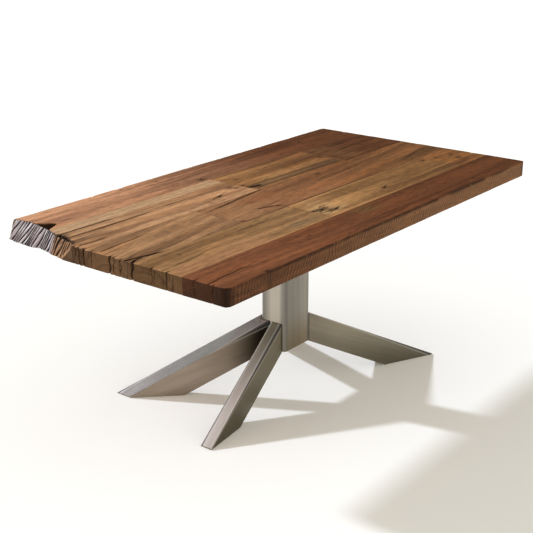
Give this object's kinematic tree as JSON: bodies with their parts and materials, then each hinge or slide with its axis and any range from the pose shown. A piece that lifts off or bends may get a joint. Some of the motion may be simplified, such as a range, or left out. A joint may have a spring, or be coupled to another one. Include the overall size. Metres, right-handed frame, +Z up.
{
  "type": "dining table",
  "caption": "Thick reclaimed-plank dining table top bolted to a steel column with sloping box legs and screw-in levelling feet.",
  "frame": {"origin": "on the floor, under the middle of the top", "axes": "+X along the boards, towards the end with the clean cut boards; +Y across them, towards the row with the old weathered end; +Z up"},
  "size_m": [1.8, 0.96, 0.76],
  "materials": {
    "wood_red": "oiled reddish brown boards",
    "wood_orange": "oiled orange brown boards",
    "wood_tan": "oiled golden tan boards",
    "wood_olive": "oiled olive brown boards",
    "wood_brown": "oiled dark brown boards",
    "joinery_wood": "plain beech",
    "base_steel": "brushed along the length",
    "black_steel": "matt black",
    "zinc_steel": "zinc plated",
    "insert_brass": "as turned",
    "pad_plastic": "moulded black",
    "sole_rubber": "soft grey black"
  },
  "bodies": {
    "table": {"batten_bolts": "zinc_steel", "batten_inserts": "insert_brass", "batten_left": "black_steel", "batten_right": "black_steel", "batten_washers": "zinc_steel", "butt_dowels": "joinery_wood", "column_bottom_cap": "base_steel", "column_tube": "base_steel", "foot_plate_back": "base_steel", "foot_plate_front": "base_steel", "foot_plate_left": "base_steel", "foot_plate_right": "base_steel", "gusset_back": "black_steel", "gusset_front": "black_steel", "gusset_left": "black_steel", "gusset_right": "black_steel", "leg_back": "base_steel", "leg_front": "base_steel", "leg_left": "base_steel", "leg_right": "base_steel", "leveller_cup_back": "zinc_steel", "leveller_cup_front": "zinc_steel", "leveller_cup_left": "zinc_steel", "leveller_cup_right": "zinc_steel", "mounting_plate": "black_steel", "plank_back": "wood_red", "plank_centre_left": "wood_olive", "plank_centre_right": "wood_orange", "plank_front": "wood_red", "plank_near_left": "wood_olive", "plank_near_middle": "wood_tan", "plank_near_right": "wood_orange", "plank_rear_left": "wood_orange", "plank_rear_middle": "wood_tan", "plank_rear_right": "wood_brown", "plate_bolts": "zinc_steel", "plate_inserts": "insert_brass", "plate_washers": "zinc_steel", "tongue_1": "joinery_wood", "tongue_2": "joinery_wood", "tongue_3": "joinery_wood", "tongue_4": "joinery_wood"},
    "pad_left": {"leveller_pad_left": "pad_plastic", "leveller_sole_left": "sole_rubber"},
    "stem_left": {"leveller_stem_left": "zinc_steel"},
    "pad_front": {"leveller_pad_front": "pad_plastic", "leveller_sole_front": "sole_rubber"},
    "stem_front": {"leveller_stem_front": "zinc_steel"},
    "pad_right": {"leveller_pad_right": "pad_plastic", "leveller_sole_right": "sole_rubber"},
    "stem_right": {"leveller_stem_right": "zinc_steel"},
    "pad_back": {"leveller_pad_back": "pad_plastic", "leveller_sole_back": "sole_rubber"},
    "stem_back": {"leveller_stem_back": "zinc_steel"}
  },
  "joints": [
    {"name": "level_left", "type": "slide", "parent": "table", "child": "pad_left", "axis": [0, 0, -1], "range_m": [0, 0.01]},
    {"name": "turn_left", "type": "hinge", "parent": "pad_left", "child": "stem_left", "pos_m": [-0.36364, 0.34509, 0.02], "axis": [0, 0, -1], "range_deg": [0, 2400.5]},
    {"name": "level_front", "type": "slide", "parent": "table", "child": "pad_front", "axis": [0, 0, -1], "range_m": [0, 0.01]},
    {"name": "turn_front", "type": "hinge", "parent": "pad_front", "child": "stem_front", "pos_m": [-0.45971, -0.07279, 0.02], "axis": [0, 0, -1], "range_deg": [0, 2400.5]},
    {"name": "level_right", "type": "slide", "parent": "table", "child": "pad_right", "axis": [0, 0, -1], "range_m": [0, 0.01]},
    {"name": "turn_right", "type": "hinge", "parent": "pad_right", "child": "stem_right", "pos_m": [0.49227, -0.21764, 0.02], "axis": [0, 0, -1], "range_deg": [0, 2400.5]},
    {"name": "level_back", "type": "slide", "parent": "table", "child": "pad_back", "axis": [0, 0, -1], "range_m": [0, 0.01]},
    {"name": "turn_back", "type": "hinge", "parent": "pad_back", "child": "stem_back", "pos_m": [0.36364, 0.34225, 0.02], "axis": [0, 0, -1], "range_deg": [0, 2400.5]}
  ],
  "couplings": [
    {"joint": "turn_left", "follows": "level_left", "rad_per_m": 4188.8},
    {"joint": "turn_front", "follows": "level_front", "rad_per_m": 4188.8},
    {"joint": "turn_right", "follows": "level_right", "rad_per_m": 4188.8},
    {"joint": "turn_back", "follows": "level_back", "rad_per_m": 4188.8}
  ]
}
